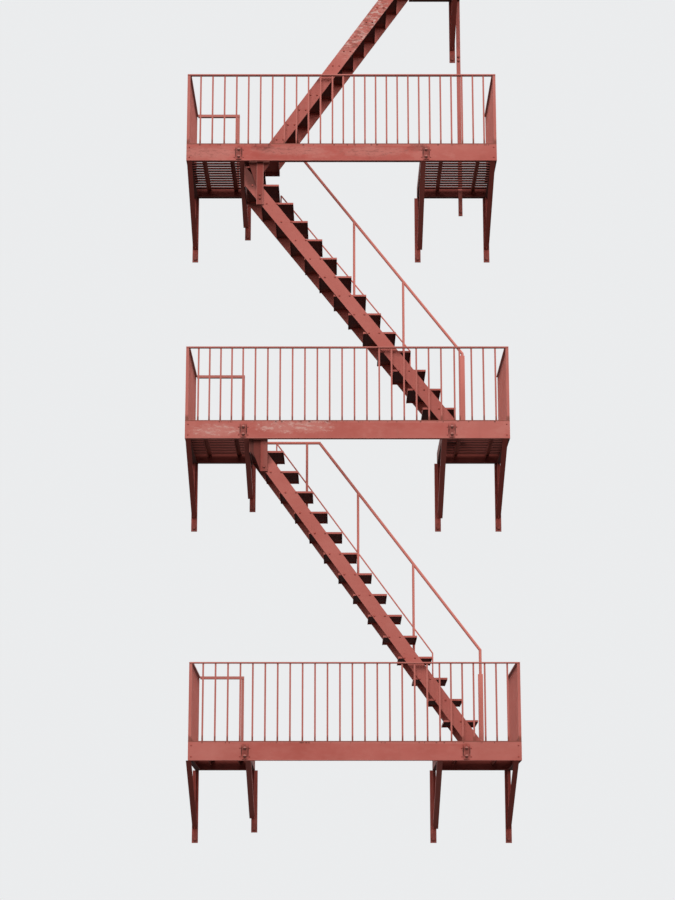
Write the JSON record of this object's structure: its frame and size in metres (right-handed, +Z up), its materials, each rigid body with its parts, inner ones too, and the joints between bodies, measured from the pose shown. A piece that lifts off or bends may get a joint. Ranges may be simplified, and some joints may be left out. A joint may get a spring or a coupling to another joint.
{
  "type": "fire escape stair",
  "caption": "Wall-hung steel fire escape with long railed landings, slatted end bays, raking wall brackets and open flights of pan treads with pipe handrails.",
  "frame": {"origin": "on the wall, beside the left end bracket of the lowest landing, level with the underside of that landing's ledger", "axes": "+X along the wall to the right as seen from the front, +Y into the wall, +Z up"},
  "size_m": [3.215, 1.119, 9.748],
  "materials": {
    "beam_paint": "weathered matt red paint",
    "railing_paint": "weathered matt red paint",
    "deck_paint": "weathered matt red paint",
    "tread_paint": "weathered matt red paint",
    "handrail_paint": "weathered matt red paint",
    "stringer_paint": "weathered matt red paint",
    "bracket_paint": "weathered matt red paint"
  },
  "bodies": {
    "root": {"lower_brackets": "bracket_paint", "lower_decks": "deck_paint", "lower_flight_hanger": "bracket_paint", "lower_frames": "bracket_paint", "lower_front_beam": "beam_paint", "lower_front_railing": "railing_paint", "lower_handrail": "handrail_paint", "lower_left_railing": "railing_paint", "lower_return_rail": "railing_paint", "lower_right_railing": "railing_paint", "lower_stringers": "stringer_paint", "lower_treads": "tread_paint", "middle_brackets": "bracket_paint", "middle_decks": "deck_paint", "middle_flight_hanger": "bracket_paint", "middle_frames": "bracket_paint", "middle_front_beam": "beam_paint", "middle_front_railing": "railing_paint", "middle_handrail": "handrail_paint", "middle_left_railing": "railing_paint", "middle_return_rail": "railing_paint", "middle_right_railing": "railing_paint", "middle_stringers": "stringer_paint", "middle_treads": "tread_paint", "top_bracket": "bracket_paint", "top_decks": "deck_paint", "top_frames": "bracket_paint", "top_front_beam": "beam_paint", "top_front_railing": "railing_paint", "top_right_railing": "railing_paint", "upper_brackets": "bracket_paint", "upper_decks": "deck_paint", "upper_flight_footing": "bracket_paint", "upper_flight_hanger": "bracket_paint", "upper_frames": "bracket_paint", "upper_front_beam": "beam_paint", "upper_front_railing": "railing_paint", "upper_left_railing": "railing_paint", "upper_return_rail": "railing_paint", "upper_right_railing": "railing_paint", "upper_stringers": "stringer_paint", "upper_treads": "tread_paint", "wall_tie": "bracket_paint"}
  },
  "joints": []
}
